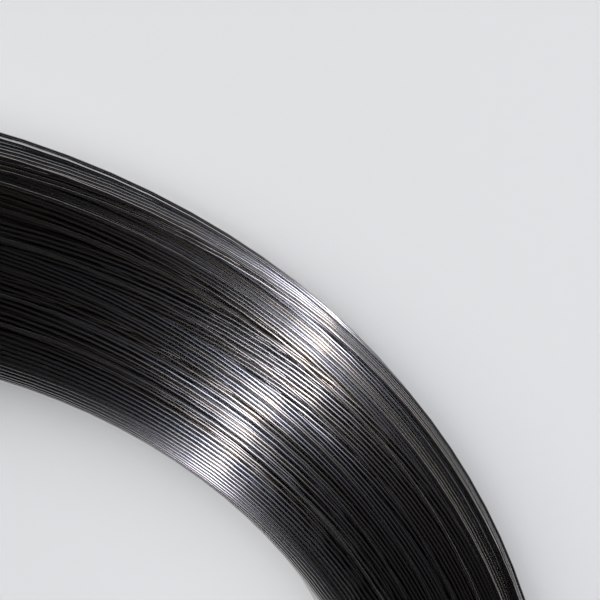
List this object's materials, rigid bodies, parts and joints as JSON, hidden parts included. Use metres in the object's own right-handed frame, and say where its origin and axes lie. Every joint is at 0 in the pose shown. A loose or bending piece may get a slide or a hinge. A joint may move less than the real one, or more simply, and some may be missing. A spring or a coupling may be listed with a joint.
{
  "type": "coil of stainless steel wire",
  "caption": "Loose-wound ring of bright drawn stainless steel wire, lying flat with an open round eye.",
  "frame": {"origin": "centre of the eye, on the face that the coil lies on", "axes": "+Z along the coil's axis, up as it lies; X and Y lie in the ground plane and are alike"},
  "size_m": [0.6, 0.6, 0.05],
  "materials": {
    "drawn_wire": "bright drawn"
  },
  "bodies": {
    "root": {"wire_coil": "drawn_wire"}
  },
  "joints": []
}
